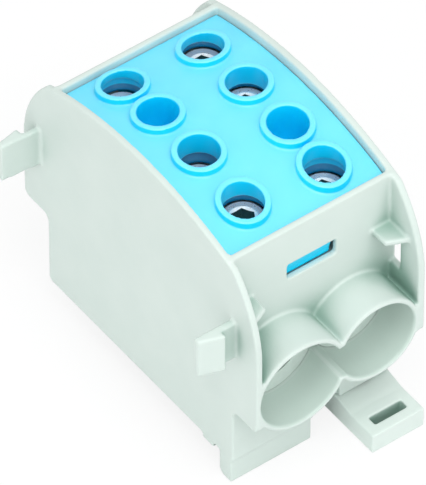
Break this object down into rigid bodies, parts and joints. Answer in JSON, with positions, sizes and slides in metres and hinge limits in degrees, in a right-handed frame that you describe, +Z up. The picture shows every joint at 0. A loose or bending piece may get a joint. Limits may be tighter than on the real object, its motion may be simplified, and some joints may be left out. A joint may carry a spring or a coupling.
{
  "type": "power distribution block",
  "caption": "Single-pole power distribution block for mounting rail, with funnel entries at both ends, an arched cover over clamp screws and hooks for coupling.",
  "frame": {"origin": "centre of the face that seats on the mounting rail", "axes": "+X along the rail, away from the coupling hooks; -Y towards the front with the rail latch, the conductors run along Y; +Z up, away from the rail"},
  "size_m": [0.0428, 0.0678, 0.0572],
  "materials": {
    "grey_plastic": "light grey moulded polyamide, fine satin",
    "blue_plastic": "sky blue moulded polyamide, satin",
    "tinned_metal": "tin-plated, satin",
    "screw_steel": "zinc-plated, bright"
  },
  "bodies": {
    "base": {"housing": "grey_plastic", "top_cover": "blue_plastic", "clamp_block": "tinned_metal"},
    "latch": {"rail_latch": "grey_plastic"},
    "large_screw_front_inner": {"large_screw_front_inner": "screw_steel"},
    "large_screw_front_outer": {"large_screw_front_outer": "screw_steel"},
    "large_screw_back_inner": {"large_screw_back_inner": "screw_steel"},
    "large_screw_back_outer": {"large_screw_back_outer": "screw_steel"},
    "small_screw_front": {"small_screw_front": "screw_steel"},
    "small_screw_back": {"small_screw_back": "screw_steel"}
  },
  "joints": [
    {"name": "latch_slide", "type": "slide", "parent": "base", "child": "latch", "axis": [0, -1, 0], "range_m": [0, 0.0035], "stiffness_N_per_m": 600, "springref_m": -0.0005},
    {"name": "large_screw_front_inner_travel", "type": "slide", "parent": "base", "child": "large_screw_front_inner", "axis": [0, 0, -1], "range_m": [-0.0025, 0.013]},
    {"name": "large_screw_front_outer_travel", "type": "slide", "parent": "base", "child": "large_screw_front_outer", "axis": [0, 0, -1], "range_m": [-0.0012, 0.0143]},
    {"name": "large_screw_back_inner_travel", "type": "slide", "parent": "base", "child": "large_screw_back_inner", "axis": [0, 0, -1], "range_m": [-0.0007, 0.0148]},
    {"name": "large_screw_back_outer_travel", "type": "slide", "parent": "base", "child": "large_screw_back_outer", "axis": [0, 0, -1], "range_m": [-0.0013, 0.0142]},
    {"name": "small_screw_front_travel", "type": "slide", "parent": "base", "child": "small_screw_front", "axis": [0, 0, -1], "range_m": [-0.0032, 0.0112]},
    {"name": "small_screw_back_travel", "type": "slide", "parent": "base", "child": "small_screw_back", "axis": [0, 0, -1], "range_m": [-0.003, 0.0114]}
  ]
}
